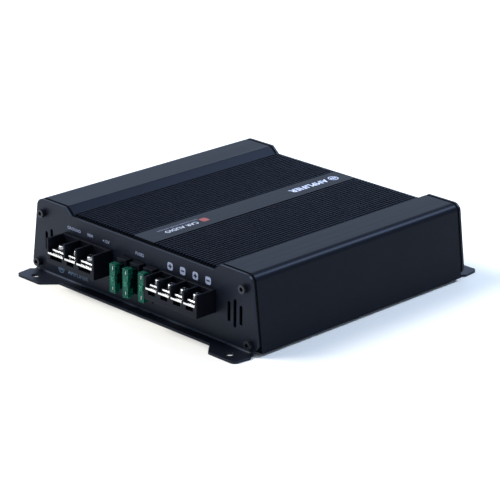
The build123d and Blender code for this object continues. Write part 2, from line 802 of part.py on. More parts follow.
# ======================================================================= rear panel
with BuildPart() as rca_block:
    with BuildSketch(plane_y(panel_back - seat)):
        with Locations((sum(rca_x) / 2, rca_z)):
            Rectangle(*rca_box[:2])
    extrude(amount=rca_box[2])
    with BuildSketch(plane_y(panel_back - rca_foot_back)):
        with Locations((sum(rca_x) / 2, (board_top + rca_z) / 2)):
            Rectangle(rca_box[0], rca_z - board_top)
    extrude(amount=rca_inside)
    with BuildSketch(plane_y(panel_face)):
        with Locations(*[(x, rca_z) for x in rca_x]):
            Circle(rca_radii["collar"])
    extrude(amount=sheet + seat)
    with BuildSketch(plane_y(panel_face)):
        with Locations(*[(x, rca_z) for x in rca_x]):
            Circle(rca_radii["bore"])
    extrude(amount=rca_bore_depth, mode=Mode.SUBTRACT)
save(rca_block, "rca_block")

# Outer contact of each phono jack, with a flange that sits on the panel.
with BuildPart() as rca_shells:
    with BuildSketch(plane_y(panel_face + rca_length)):
        with Locations(*[(x, rca_z) for x in rca_x]):
            Circle(rca_radii["shell"])
            Circle(rca_radii["shell bore"], mode=Mode.SUBTRACT)
    extrude(amount=rca_length + rca_inside)
    with BuildSketch(plane_y(panel_face + rca_flange)):
        with Locations(*[(x, rca_z) for x in rca_x]):
            Circle(rca_radii["flange"])
            Circle(rca_core["flange bore"], mode=Mode.SUBTRACT)
    extrude(amount=rca_flange)
save(rca_shells, "rca_shells")

with BuildPart() as rca_insulators:
    with BuildSketch(plane_y(panel_face + rca_length - rca_sunk)):
        with Locations(*[(x, rca_z) for x in rca_x]):
            Circle(rca_core["insulator"])
            Circle(rca_core["insulator bore"], mode=Mode.SUBTRACT)
    extrude(amount=rca_core_length)
save(rca_insulators, "rca_insulators")

with BuildPart() as rca_contacts:
    with BuildSketch(plane_y(panel_face + rca_length - rca_sunk)):
        with Locations(*[(x, rca_z) for x in rca_x]):
            Circle(rca_core["contact"])
            Circle(rca_core["contact bore"], mode=Mode.SUBTRACT)
    extrude(amount=rca_core_length)
save(rca_contacts, "rca_contacts")

with BuildPart() as control_board:
    with BuildSketch(plane_y(control_board_back)):
        with Locations((control_board_x, (board_top + control_board_top) / 2)):
            Rectangle(control_board_width, control_board_top - board_top)
    extrude(amount=control_board_back - control_board_y)
save(control_board, "control_board")

with BuildPart() as control_pots:
    for x in knob_x.values():
        with BuildSketch(plane_y(control_board_back + pot_body[2])):
            with Locations((x, knob_z)):
                Rectangle(*pot_body[:2])
        extrude(amount=pot_body[2])
        with BuildSketch(plane_y(panel_back)):
            with Locations((x, knob_z)):
                Circle(pot_neck)
        extrude(amount=panel_back - control_board_back - pot_body[2])
        with BuildSketch(plane_y(panel_back)):
            with Locations((x, knob_z)):
                Circle(shaft + play)
        extrude(amount=pot_bore, mode=Mode.SUBTRACT)
save(control_pots, "control_pots")

# Knobs: a fluted cap with a pointer slot, on a plain shaft that runs in the control.
for name, x in knob_x.items():
    with BuildPart() as knob:
        with BuildSketch(plane_y(panel_face + knob_reach)):
            with Locations((x, knob_z)):
                Circle(knob_radius)
                with PolarLocations(knob_flutes[1], knob_flutes[0]):
                    Circle(knob_flutes[2], mode=Mode.SUBTRACT)
        extrude(amount=knob_height)
        with BuildSketch(plane_y(panel_face + knob_reach)):
            with Locations((x, knob_z + knob_slot_rise)):
                Rectangle(*knob_slot[:2])
        extrude(amount=knob_slot[2], mode=Mode.SUBTRACT)
        with BuildSketch(plane_y(panel_face + knob_reach - knob_height)):
            with Locations((x, knob_z)):
                Circle(shaft)
        extrude(amount=shaft_length)
    save(knob, name)

with BuildPart() as phase_switch_body:
    with BuildSketch(plane_y(panel_back)):
        with Locations((switch_x, switch_z)):
            Rectangle(*switch_body)
    extrude(amount=panel_back - control_board_back)
    with BuildSketch(plane_y(panel_back)):
        with Locations((switch_x, switch_z)):
            Rectangle(lever[0] + switch_travel + 4 * play, switch_slot)
    extrude(amount=switch_depth, mode=Mode.SUBTRACT)
save(phase_switch_body, "phase_switch_body")

with BuildPart() as phase_switch_lever:
    with BuildSketch(plane_y(panel_face + lever_reach)):
        with Locations((switch_x - switch_travel / 2, switch_z)):
            Rectangle(*lever)
    extrude(amount=sheet + lever_reach + switch_depth - 4 * play)
    fillet(phase_switch_lever.edges().group_by(Axis.Y)[-1], radius=lever_round)
save(phase_switch_lever, "phase_switch_lever")

with BuildPart() as remote_socket:
    with BuildSketch(plane_y(panel_face + remote_rim)):
        with Locations((remote_x, remote_z)):
            Rectangle(*remote_body[:2])
    extrude(amount=remote_body[2])
    with BuildSketch(plane_y(panel_back - 2 * remote_rim)):
        with Locations((remote_x, remote_foot[0])):
            Rectangle(remote_body[0], 2 * (remote_foot[0] - board_top))
    extrude(amount=remote_foot[1])
    with BuildSketch(plane_y(panel_face + remote_rim)):
        with Locations((remote_x, remote_opening[2])):
            Rectangle(*remote_opening[:2])
        with Locations((remote_x, remote_latch[2])):
            Rectangle(*remote_latch[:2])
    extrude(amount=remote_depth, mode=Mode.SUBTRACT)
save(remote_socket, "remote_socket")

with BuildPart() as led_lenses:
    for x, z in led_spots:
        with BuildSketch(plane_y(panel_face + led_reach)):
            with Locations((x, z)):
                Circle(led_radius)
        extrude(amount=panel_face + led_reach - control_board_back)
        with Locations((x, panel_face + led_reach, z)):
            Sphere(led_radius)
save(led_lenses, "led_lenses")
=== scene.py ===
"""Car amplifier: finishes, printing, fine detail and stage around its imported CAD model."""

import json
import math

import bmesh
import bpy
from bpy.props import FloatProperty, FloatVectorProperty, PointerProperty, StringProperty
from mathutils import Matrix, Vector

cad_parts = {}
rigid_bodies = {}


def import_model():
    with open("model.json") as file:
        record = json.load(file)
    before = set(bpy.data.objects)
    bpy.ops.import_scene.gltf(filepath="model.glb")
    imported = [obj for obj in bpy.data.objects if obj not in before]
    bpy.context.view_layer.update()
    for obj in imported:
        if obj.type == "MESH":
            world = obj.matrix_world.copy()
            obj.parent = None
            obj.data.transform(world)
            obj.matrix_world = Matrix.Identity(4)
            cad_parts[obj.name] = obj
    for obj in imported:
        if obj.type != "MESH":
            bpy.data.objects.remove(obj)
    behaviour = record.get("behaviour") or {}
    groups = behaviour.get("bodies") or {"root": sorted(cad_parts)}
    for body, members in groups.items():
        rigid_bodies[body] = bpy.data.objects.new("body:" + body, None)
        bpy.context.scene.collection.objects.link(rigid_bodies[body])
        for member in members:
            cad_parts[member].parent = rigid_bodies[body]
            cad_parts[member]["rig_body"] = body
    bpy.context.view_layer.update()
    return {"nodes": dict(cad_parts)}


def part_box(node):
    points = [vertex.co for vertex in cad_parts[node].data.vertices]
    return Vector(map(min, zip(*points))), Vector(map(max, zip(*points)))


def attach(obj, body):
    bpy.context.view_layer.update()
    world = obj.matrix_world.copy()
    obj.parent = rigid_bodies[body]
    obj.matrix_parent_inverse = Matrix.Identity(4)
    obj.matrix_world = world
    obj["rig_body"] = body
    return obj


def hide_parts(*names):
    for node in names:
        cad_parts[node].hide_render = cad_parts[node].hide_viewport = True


bl_info = {
    "name": "Car amplifier",
    "version": (1, 0, 0),
    "blender": (4, 5, 0),
    "location": "3D View > Sidebar > Amplifier",
    "description": "Finishes a car amplifier around its CAD model",
    "category": "Object",
}

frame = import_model()

# ------------------------------------------------------------------ units and names


def mm(size):
    """Millimetres to metres."""
    return size * 0.001


def linear(hex_colour):
    """sRGB hex colour to the linear one that shaders take."""
    channels = [int(hex_colour[i : i + 2], 16) / 255 for i in (1, 3, 5)]
    return tuple(c / 12.92 if c <= 0.04045 else ((c + 0.055) / 1.055) ** 2.4 for c in channels)


TERMINALS = [n[: -len("_clamp")] for n in sorted(frame["nodes"]) if n.endswith("_clamp")]
FUSES = ("fuse_1", "fuse_2", "fuse_3")
KNOBS = ("level_knob", "low_pass_knob", "bass_knob")
CHASSIS = "chassis"

STRIP_HALF_WIDTH = mm(9.5)
FIN_ZONE = (mm(9.6), mm(64.0))  # nearest and farthest fin, from the middle
END_SCREW_HEAD = mm(3.0)
PRINT_GAP = mm(0.005)  # keeps print off the surface under it

# Directions in which print reads: right, up and out of the surface.
ON_FRONT = ((1, 0, 0), (0, 0, 1), (0, -1, 0))
ON_REAR = ((-1, 0, 0), (0, 0, 1), (0, 1, 0))
ON_TOP = ((0, -1, 0), (1, 0, 0), (0, 0, 1))


# ------------------------------------------------------------------ what a user may change


class AmplifierSizes(bpy.types.PropertyGroup):
    """Edge radii and print thickness, in metres."""

    fin_crown: FloatProperty(
        name="Fin crown", description="Rounding of the fins' tops", default=mm(0.52), unit="LENGTH"
    )
    casing_edge: FloatProperty(
        name="Casing edge",
        description="Rounding of the casing's other edges",
        default=mm(0.25),
        unit="LENGTH",
    )
    sheet_edge: FloatProperty(
        name="Sheet edge",
        description="Rounding of the end panels' cut edges",
        default=mm(0.25),
        unit="LENGTH",
    )
    moulding_edge: FloatProperty(
        name="Moulding edge",
        description="Rounding of the moulded plastic parts",
        default=mm(0.22),
        unit="LENGTH",
    )
    fuse_edge: FloatProperty(
        name="Fuse edge", description="Rounding of the fuse bodies", default=mm(0.4), unit="LENGTH"
    )
    metal_edge: FloatProperty(
        name="Metal edge",
        description="Rounding of plates, clamps and screws",
        default=mm(0.14),
        unit="LENGTH",
    )
    screw_dome: FloatProperty(
        name="Screw dome",
        description="Rounding of the terminal screws' heads",
        default=mm(0.5),
        unit="LENGTH",
    )
    print_thickness: FloatProperty(
        name="Print thickness",
        description="How far the ink stands out",
        default=mm(0.03),
        unit="LENGTH",
    )


class AmplifierColours(bpy.types.PropertyGroup):
    """Colours of the finishes."""

    casing: FloatVectorProperty(
        name="Casing",
        description="Coating of the extrusion",
        default=(0.0042, 0.0052, 0.0080),
        subtype="COLOR",
    )
    panel: FloatVectorProperty(
        name="Panels",
        description="Powder coat of the end panels",
        default=(0.0032, 0.0039, 0.0072),
        subtype="COLOR",
    )
    fuse: FloatVectorProperty(
        name="Fuses",
        description="Translucent plastic of the fuses",
        default=(0.003, 0.095, 0.062),
        subtype="COLOR",
    )
    print_pale: FloatVectorProperty(
        name="Pale print", description="Main ink", default=linear("#C3CBE2"), subtype="COLOR"
    )
    print_accent: FloatVectorProperty(
        name="Accent print",
        description="Accent ink on the top strip",
        default=linear("#8A3D38"),
        subtype="COLOR",
    )


class AmplifierStage(bpy.types.PropertyGroup):
    """Camera and light."""

    camera_place: FloatVectorProperty(
        name="Camera",
        description="Where the camera stands",
        default=(0.93757, -0.94174, 0.51049),
        unit="LENGTH",
    )
    camera_azimuth: FloatProperty(
        name="Azimuth",
        description="Camera's turn about Z",
        default=math.radians(44.824),
        subtype="ANGLE",
    )
    camera_elevation: FloatProperty(
        name="Elevation",
        description="How steeply it looks down",
        default=math.radians(20.40),
        subtype="ANGLE",
    )
    camera_roll: FloatProperty(
        name="Roll",
        description="Camera's tilt to the side",
        default=math.radians(0.64),
        subtype="ANGLE",
    )
    lens: FloatProperty(
        name="Lens", description="Focal length in millimetres, on a 36 mm sensor", default=158.99
    )
    cool: FloatVectorProperty(
        name="Cool light",
        description="Colour of the surroundings and of the back panel",
        default=(0.76, 0.92, 1.22),
    )
    sky: FloatProperty(name="Sky", description="Brightness of the surrounding studio", default=0.52)
    key: FloatProperty(
        name="Key light",
        description="Power of the large soft light",
        default=33.0,
        unit="POWER",
    )
    sheen: FloatProperty(
        name="Sheen light",
        description="Power of the back panel",
        default=3.9,
        unit="POWER",
    )
    edge: FloatProperty(
        name="Edge light",
        description="Power of the light behind",
        default=13.0,
        unit="POWER",
    )


def settings():
    """The scene's own groups of settings."""
    scene = bpy.context.scene
    return scene.amplifier_sizes, scene.amplifier_colours, scene.amplifier_stage


# ------------------------------------------------------------------ materials


def add(tree, kind, inputs=None, **options):
    """Adds a shader node, sets its options, and fills or links its inputs."""
    node = tree.nodes.new("ShaderNode" + kind)
    for name, value in options.items():
        setattr(node, name, value)
    for name, value in (inputs or {}).items():
        if isinstance(value, bpy.types.NodeSocket):
            tree.links.new(value, node.inputs[name])
        else:
            node.inputs[name].default_value = value
    return node


def start(name, **values):
    """New material with one Principled shader, whose sockets take the given values."""
    material = bpy.data.materials.new(name)
    material.use_nodes = True
    tree = material.node_tree
    tree.nodes.clear()
    shader = add(tree, "BsdfPrincipled", {k.replace("_", " "): v for k, v in values.items()})
    add(tree, "OutputMaterial", {"Surface": shader.outputs["BSDF"]})
    return material, tree, shader


def pattern(tree, kind, size, stretch=(1, 1, 1), inputs=None, **options):
    """A texture whose features are size mm across, longer by stretch along each axis of the object."""
    place = add(tree, "TexCoord").outputs["Object"]
    longer = add(tree, "Mapping", {"Vector": place, "Scale": [1 / s for s in stretch]})
    values = {"Vector": longer.outputs["Vector"], "Scale": 1 / mm(size), **(inputs or {})}
    return add(tree, kind, values, **options)


def spread(tree, shader, socket, value, low, high):
    """Drives a socket from low to high by a pattern's value."""
    ranged = add(tree, "MapRange", {"Value": value, "To Min": low, "To Max": high})
    tree.links.new(ranged.outputs["Result"], shader.inputs[socket])


def tint(tree, shader, value, dark, light):
    """Blends the shader's colour from dark to light by a pattern's value."""
    mixed = add(tree, "Mix", {"Factor": value, "A": (*dark, 1), "B": (*light, 1)}, data_type="RGBA")
    tree.links.new(mixed.outputs["Result"], shader.inputs["Base Color"])


def relief(tree, shader, value, depth, strength=1.0):
    """Bumps the surface by a pattern's value, depth mm from low to high."""
    bump = add(tree, "Bump", {"Height": value, "Distance": mm(depth), "Strength": strength})
    tree.links.new(bump.outputs["Normal"], shader.inputs["Normal"])


# The coatings' blue-black pigment tints their reflections too.
COOL_SHEEN = (0.80, 1.0, 1.4, 1)


def shade(colour, factor):
    """The colour, lighter or darker by a factor."""
    return tuple(c * factor for c in colour)


def black_coated_extrusion():
    """Extruded aluminium with a baked black coat: faint die lines along it and a soft, cool sheen."""
    material, tree, shader = start(
        "black coated extruded aluminium", Specular_IOR_Level=0.06, Specular_Tint=COOL_SHEEN
    )
    colour = settings()[1].casing
    lines = pattern(tree, "TexNoise", 1.6, (1, 160, 1), {"Detail": 2.0})
    cloud = pattern(tree, "TexNoise", 22, (1, 1, 1), {"Detail": 3.0})
    tint(tree, shader, cloud.outputs["Fac"], shade(colour, 0.85), shade(colour, 1.18))
    spread(tree, shader, "Roughness", lines.outputs["Fac"], 0.30, 0.44)
    relief(tree, shader, lines.outputs["Fac"], 0.012, 0.35)
    return material


def satin_powder_coat():
    """Steel sheet with a satin powder coat: a fine orange peel that blurs the reflections a little."""
    material, tree, shader = start(
        "satin black powder coat", Specular_IOR_Level=0.22, Specular_Tint=COOL_SHEEN
    )
    colour = settings()[1].panel
    # real orange peel is about 1 mm; drawn at 1.4 mm so that it shows
    peel = pattern(tree, "TexNoise", 1.4, (1, 1, 1), {"Detail": 1.0})
    cloud = pattern(tree, "TexNoise", 30, (1, 1, 1), {"Detail": 2.0})
    tint(tree, shader, cloud.outputs["Fac"], shade(colour, 0.88), shade(colour, 1.12))
    spread(tree, shader, "Roughness", cloud.outputs["Fac"], 0.40, 0.50)
    relief(tree, shader, peel.outputs["Fac"], 0.015, 0.25)
    return material


def moulded_seal_rubber():
    """Moulded rubber: dead black with a dry, powdery surface."""
    material, tree, shader = start("moulded seal rubber", Specular_IOR_Level=0.2)
    bloom = pattern(tree, "TexNoise", 3.0, (1, 1, 1), {"Detail": 4.0})
    tint(tree, shader, bloom.outputs["Fac"], linear("#050506"), linear("#0B0B0D"))
    spread(tree, shader, "Roughness", bloom.outputs["Fac"], 0.75, 0.92)
    relief(tree, shader, bloom.outputs["Fac"], 0.03, 0.4)
    return material


def black_oxide_steel():
    """Cold-headed steel, chemically blackened and oiled: dark, with a metallic edge to its highlights."""
    material, tree, shader = start("black oxide steel", Metallic=0.75)
    oil = pattern(tree, "TexNoise", 1.2, (1, 1, 1), {"Detail": 3.0})
    tint(tree, shader, oil.outputs["Fac"], linear("#1E2026"), linear("#3C3F48"))
    spread(tree, shader, "Roughness", oil.outputs["Fac"], 0.2, 0.34)
    relief(tree, shader, oil.outputs["Fac"], 0.01, 0.3)
    return material


def moulded_black_plastic():
    """Glass-filled PBT, moulded in a spark-eroded tool: black with a fine matt grain."""
    material, tree, shader = start("moulded black PBT", Specular_IOR_Level=0.14, Specular_Tint=COOL_SHEEN)
    # the tool's grain is about 0.1 mm; drawn at 0.5 mm so that it shows close up
    grain = pattern(tree, "TexVoronoi", 0.5, (1, 1, 1), {"Randomness": 1.0})
    flow = pattern(tree, "TexNoise", 9.0, (1, 1, 2.5), {"Detail": 2.0})
    tint(tree, shader, flow.outputs["Fac"], linear("#06070A"), linear("#0B0C11"))
    spread(tree, shader, "Roughness", flow.outputs["Fac"], 0.38, 0.52)
    relief(tree, shader, grain.outputs["Distance"], 0.02, 0.3)
    return material


def bright_nickel_plate():
    """Stamped brass with bright nickel: near-white, with faint rolling lines under the plate."""
    material, tree, shader = start("bright nickel plate", Metallic=1.0)
    rolled = pattern(tree, "TexNoise", 0.35, (14, 1, 1), {"Detail": 2.0})
    cloud = pattern(tree, "TexNoise", 4.0, (1, 1, 1), {"Detail": 2.0})
    tint(tree, shader, cloud.outputs["Fac"], linear("#D3D2D2"), linear("#F1F0EE"))
    spread(tree, shader, "Roughness", rolled.outputs["Fac"], 0.14, 0.27)
    relief(tree, shader, rolled.outputs["Fac"], 0.006, 0.35)
    return material


def worn_nickel_screw():
    """Nickelled steel screw that a driver has turned: greyer than the plates, with sharper highlights."""
    material, tree, shader = start("worn nickel screw", Metallic=1.0)
    wear = pattern(tree, "TexNoise", 0.9, (1, 1, 1), {"Detail": 3.0})
    tint(tree, shader, wear.outputs["Fac"], linear("#5C5E63"), linear("#D8D7D6"))
    spread(tree, shader, "Roughness", wear.outputs["Fac"], 0.12, 0.24)
    return material


def painted_recess_shade():
    """Painted shade for the screws' recesses and for the faces under their heads: dark, dull metal."""
    material, tree, shader = start("tarnished recess", Metallic=0.8)
    shade_mottle = pattern(tree, "TexNoise", 0.6, (1, 1, 1), {"Detail": 3.0})
    tint(tree, shader, shade_mottle.outputs["Fac"], linear("#15161A"), linear("#2E3036"))
    spread(tree, shader, "Roughness", shade_mottle.outputs["Fac"], 0.4, 0.6)
    return material


def tinned_blade():
    """Tin-plated zinc strip of the fuse blades: bright but softer than nickel."""
    material, tree, shader = start("tinned zinc blade", Metallic=1.0)
    bloom = pattern(tree, "TexNoise", 0.9, (1, 5, 1), {"Detail": 3.0})
    tint(tree, shader, bloom.outputs["Fac"], linear("#B4B6BA"), linear("#DEDFE2"))
    spread(tree, shader, "Roughness", bloom.outputs["Fac"], 0.24, 0.4)
    return material


def translucent_fuse_plastic():
    """Moulded translucent polyamide: deep green, glossy, letting the metal inside show through."""
    material, tree, shader = start(
        "translucent green polyamide",
        IOR=1.45,
        Transmission_Weight=0.5,
        Specular_IOR_Level=0.3,
        Specular_Tint=(0.25, 1.0, 0.75, 1),
    )
    colour = settings()[1].fuse
    flow = pattern(tree, "TexNoise", 2.2, (1, 1, 1.8), {"Detail": 1.0})
    tint(tree, shader, flow.outputs["Fac"], shade(colour, 0.15), shade(colour, 2.1))
    spread(tree, shader, "Roughness", flow.outputs["Fac"], 0.05, 0.12)
    relief(tree, shader, flow.outputs["Fac"], 0.3, 0.8)
    return material


def painted_shade_fuse_plastic():
    """Painted shade: the same polyamide behind the head, coloured nearly black-green where the blades, the
    socket and the blocks beside it shade it.
    """
    material, tree, shader = start("shaded green polyamide", IOR=1.45, Specular_IOR_Level=0.15)
    flow = pattern(tree, "TexNoise", 3.0, (1, 1, 2), {"Detail": 2.0})
    tint(tree, shader, flow.outputs["Fac"], linear("#020A08"), linear("#06201A"))
    spread(tree, shader, "Roughness", flow.outputs["Fac"], 0.2, 0.35)
    return material


def ink(name, colour, uneven=1.12):
    """Screen-printed ink: flat and slightly chalky, a little thinner in places."""
    material, tree, shader = start(name, Specular_IOR_Level=0.4)
    thin = pattern(tree, "TexNoise", 0.8, (1, 1, 1), {"Detail": 3.0})
    tint(tree, shader, thin.outputs["Fac"], shade(colour, 1 / uneven), shade(colour, uneven))
    spread(tree, shader, "Roughness", thin.outputs["Fac"], 0.42, 0.58)
    return material


def coloured_moulding(name, dark, light, rough=(0.22, 0.34)):
    """Glossy coloured plastic, such as a jack insert or a capacitor box: even, with slight flow marks."""
    material, tree, shader = start(name, Specular_IOR_Level=0.5)
    flow = pattern(tree, "TexNoise", 5.0, (1, 1, 2), {"Detail": 2.0})
    tint(tree, shader, flow.outputs["Fac"], linear(dark), linear(light))
    spread(tree, shader, "Roughness", flow.outputs["Fac"], *rough)
    return material


def tinted_lens(name, dark, light):
    """Tinted epoxy of an indicator lamp: clear and wet-looking."""
    material, tree, shader = start(
        name, IOR=1.5, Transmission_Weight=0.55, Coat_Weight=0.5, Coat_Roughness=0.05
    )
    depth = pattern(tree, "TexNoise", 2.0, (1, 1, 1), {"Detail": 1.0})
    tint(tree, shader, depth.outputs["Fac"], linear(dark), linear(light))
    spread(tree, shader, "Roughness", depth.outputs["Fac"], 0.05, 0.12)
    return material


def solder_masked_board():
    """Glass-epoxy board under green solder mask: copper tracks show as paler green lines."""
    material, tree, shader = start("solder masked board", Specular_IOR_Level=0.5)
    layout = {"Mortar Size": 0.18, "Brick Width": 3.5, "Row Height": 1.0}
    tracks = pattern(tree, "TexBrick", 2.4, (1, 1, 1), layout)
    tint(tree, shader, tracks.outputs["Fac"], linear("#0B3A24"), linear("#1A6B41"))
    weave = pattern(tree, "TexNoise", 0.6, (1, 1, 1), {"Detail": 2.0})
    spread(tree, shader, "Roughness", weave.outputs["Fac"], 0.2, 0.36)
    relief(tree, shader, tracks.outputs["Fac"], 0.035, 0.6)
    return material


def enamelled_copper():
    """Wound magnet wire: orange-brown under clear enamel."""
    material, tree, shader = start("enamelled copper wire", Metallic=1.0, Coat_Weight=0.6, Coat_Roughness=0.1)
    heat = pattern(tree, "TexNoise", 6.0, (1, 1, 1), {"Detail": 3.0})
    tint(tree, shader, heat.outputs["Fac"], linear("#8A3F1C"), linear("#C56A35"))
    spread(tree, shader, "Roughness", heat.outputs["Fac"], 0.2, 0.32)
    return material


def coated_ferrite():
    """Sintered core under a sprayed epoxy coat: dark and slightly pebbled."""
    material, tree, shader = start("epoxy coated ferrite", Specular_IOR_Level=0.4)
    pebble = pattern(tree, "TexVoronoi", 0.9, (1, 1, 1), {"Randomness": 1.0})
    tint(tree, shader, pebble.outputs["Distance"], linear("#1D2A24"), linear("#2F463A"))
    spread(tree, shader, "Roughness", pebble.outputs["Distance"], 0.4, 0.6)
    relief(tree, shader, pebble.outputs["Distance"], 0.05, 0.5)
    return material


def silicone_pad():
    """Filled silicone sheet: pale grey, dull and slightly mottled."""
    material, tree, shader = start("filled silicone sheet", Specular_IOR_Level=0.3)
    filler = pattern(tree, "TexNoise", 0.7, (1, 1, 1), {"Detail": 4.0})
    tint(tree, shader, filler.outputs["Fac"], linear("#8E9294"), linear("#B3B6B8"))
    spread(tree, shader, "Roughness", filler.outputs["Fac"], 0.6, 0.8)
    return material


def mill_aluminium():
    """Aluminium bar as rolled: pale, with long rolling lines."""
    material, tree, shader = start("mill finish aluminium", Metallic=1.0)
    rolled = pattern(tree, "TexNoise", 0.5, (1, 60, 1), {"Detail": 3.0})
    tint(tree, shader, rolled.outputs["Fac"], linear("#B4B6B9"), linear("#D6D8DA"))
    spread(tree, shader, "Roughness", rolled.outputs["Fac"], 0.28, 0.48)
    relief(tree, shader, rolled.outputs["Fac"], 0.01, 0.4)
    return material


def zinc_plated_steel():
    """Zinc plate with a clear passivate: silver with a faint blue and yellow bloom."""
    material, tree, shader = start("zinc plated steel", Metallic=1.0)
    bloom = pattern(tree, "TexNoise", 2.5, (1, 1, 1), {"Detail": 2.0})
    tint(tree, shader, bloom.outputs["Fac"], linear("#A9B0BC"), linear("#CFCBB8"))
    spread(tree, shader, "Roughness", bloom.outputs["Fac"], 0.24, 0.38)
    return material


def turned_brass():
    """Turned brass hexagon bar: yellow with fine tool rings."""
    material, tree, shader = start("turned brass", Metallic=1.0)
    rings = pattern(tree, "TexNoise", 0.3, (20, 20, 1), {"Detail": 1.0})
    tint(tree, shader, rings.outputs["Fac"], linear("#A9843E"), linear("#D2AE62"))
    spread(tree, shader, "Roughness", rings.outputs["Fac"], 0.2, 0.36)
    return material


def studio_paper():
    """Pale matt paper of the studio floor."""
    material, tree, shader = start("pale studio paper", Specular_IOR_Level=0.1)
    fibre = pattern(tree, "TexNoise", 2.0, (1, 1, 1), {"Detail": 3.0})
    tint(tree, shader, fibre.outputs["Fac"], linear("#F4F0E6"), linear("#F8F5EC"))
    spread(tree, shader, "Roughness", fibre.outputs["Fac"], 0.85, 0.95)
    return material


MAKERS = {
    "casing": black_coated_extrusion,
    "panel": satin_powder_coat,
    "gasket": moulded_seal_rubber,
    "black_screw": black_oxide_steel,
    "black_plastic": moulded_black_plastic,
    "nickel": bright_nickel_plate,
    "screw_nickel": worn_nickel_screw,
    "recess": painted_recess_shade,
    "blade": tinned_blade,
    "fuse_plastic": translucent_fuse_plastic,
    "fuse_shank_painted_shade": painted_shade_fuse_plastic,
    "ink_pale": lambda: ink("pale screen print", settings()[1].print_pale),
    "ink_white": lambda: ink("white screen print", linear("#B7BCC9")),
    "ink_grey": lambda: ink("grey screen print", linear("#6E7388")),
    "ink_accent": lambda: ink("accent screen print", settings()[1].print_accent),
    "ink_dim": lambda: ink("blue-grey screen print", linear("#50667F")),
    "ink_sign": lambda: ink("sign screen print", linear("#8E97AE")),
    "ink_label": lambda: ink("label screen print", linear("#7F869E")),
    "ink_fuse": lambda: ink("fuse rating print", linear("#2E7E67")),
    "ink_dark": lambda: ink("dark screen print", linear("#1B1D26")),
    "jack_white": lambda: coloured_moulding("white jack insert", "#C9C9C4", "#E2E2DE"),
    "jack_red": lambda: coloured_moulding("red jack insert", "#7E1512", "#A3211C"),
    "led_blue": lambda: tinted_lens("blue lamp lens", "#1A3C9C", "#3F6FE0"),
    "led_red": lambda: tinted_lens("red lamp lens", "#7A1014", "#C02A2E"),
    "board": solder_masked_board,
    "copper": enamelled_copper,
    "ferrite": coated_ferrite,
    "capacitor_sleeve": lambda: coloured_moulding("capacitor shrink sleeve", "#0E1016", "#1C2030"),
    "film_box": lambda: coloured_moulding("film capacitor box", "#6E1512", "#8E211C", (0.3, 0.42)),
    "pad_rubber": silicone_pad,
    "bar_aluminium": mill_aluminium,
    "steel": zinc_plated_steel,
    "brass_parts": turned_brass,
}
made = {}


def finish_of(kind):
    """The material of that kind, made the first time it is asked for."""
    if kind not in made:
        made[kind] = MAKERS[kind]()
    return made[kind]


# ------------------------------------------------------------------ making pieces


def show(name, mesh, kind, body, replaced=()):
    """Turns a finished mesh into a piece that rides on a body, in its finish."""
    piece = bpy.data.objects.new(name, mesh)
    bpy.context.scene.collection.objects.link(piece)
    mesh.materials.clear()
    mesh.materials.append(finish_of(kind))
    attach(piece, body)
    if replaced:
        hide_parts(*replaced)
    return piece


def smooth(piece, angle=38):
    """Shades a piece smooth up to an angle in degrees, keeping its flat faces flat."""
    piece.data.shade_smooth()
    piece.data.set_sharp_from_angle(angle=math.radians(angle))
    weighted = piece.modifiers.new("Flat faces stay flat", "WEIGHTED_NORMAL")
    weighted.keep_sharp = True
    weighted.weight = 80


def joined(node):
    """A node's CAD mesh as a bmesh, its loose triangles joined up into whole faces."""
    bm = bmesh.new()
    bm.from_mesh(frame["nodes"][node].data)
    bmesh.ops.remove_doubles(bm, verts=bm.verts, dist=mm(0.002))
    bmesh.ops.dissolve_limit(bm, angle_limit=math.radians(0.8), verts=bm.verts, edges=bm.edges)
    return bm


def round_edges(bm, radius, angle=28, segments=2, chosen=None):
    """Rounds the edges of a bmesh that turn by more than an angle in degrees."""
    sharp = [
        e
        for e in bm.edges
        if len(e.link_faces) == 2
        and e.calc_face_angle() > math.radians(angle)
        and (chosen is None or chosen(e))
    ]
    bmesh.ops.bevel(
        bm,
        geom=sharp,
        offset=radius,
        offset_type="OFFSET",
        segments=segments,
        profile=0.5,
        affect="EDGES",
        clamp_overlap=True,
        material=-1,
    )


def as_mesh(bm, name):
    """Writes a bmesh to a new mesh and frees it."""
    mesh = bpy.data.meshes.new(name)
    bm.to_mesh(mesh)
    bm.free()
    return mesh


def refine(node, kind, radius, segments=2, angle=28, chosen=None):
    """A CAD node with its edges rounded, standing for the node under the name NODE_shape."""
    bm = joined(node)
    round_edges(bm, radius, angle, segments, chosen)
    body = frame["nodes"][node]["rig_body"]
    piece = show(node + "_shape", as_mesh(bm, node + "_shape"), kind, body, [node])
    smooth(piece)
    return piece


def paint(piece, kind, chosen):
    """Gives the faces whose centres are chosen a second finish."""
    piece.data.materials.append(finish_of(kind))
    for face in piece.data.polygons:
        face.material_index = 1 if chosen(face.center) else 0


def dress(node, kind):
    """Gives a CAD node that stays as it is a material."""
    mesh = frame["nodes"][node].data
    mesh.materials.clear()
    mesh.materials.append(finish_of(kind))


def axes_at(place, reads):
    """Matrix that lays a flat drawing at a place, on one of the reading directions."""
    right, up, out = (Vector(v) for v in reads)
    matrix = Matrix((right, up, out)).transposed().to_4x4()
    matrix.translation = Vector(place)
    return matrix


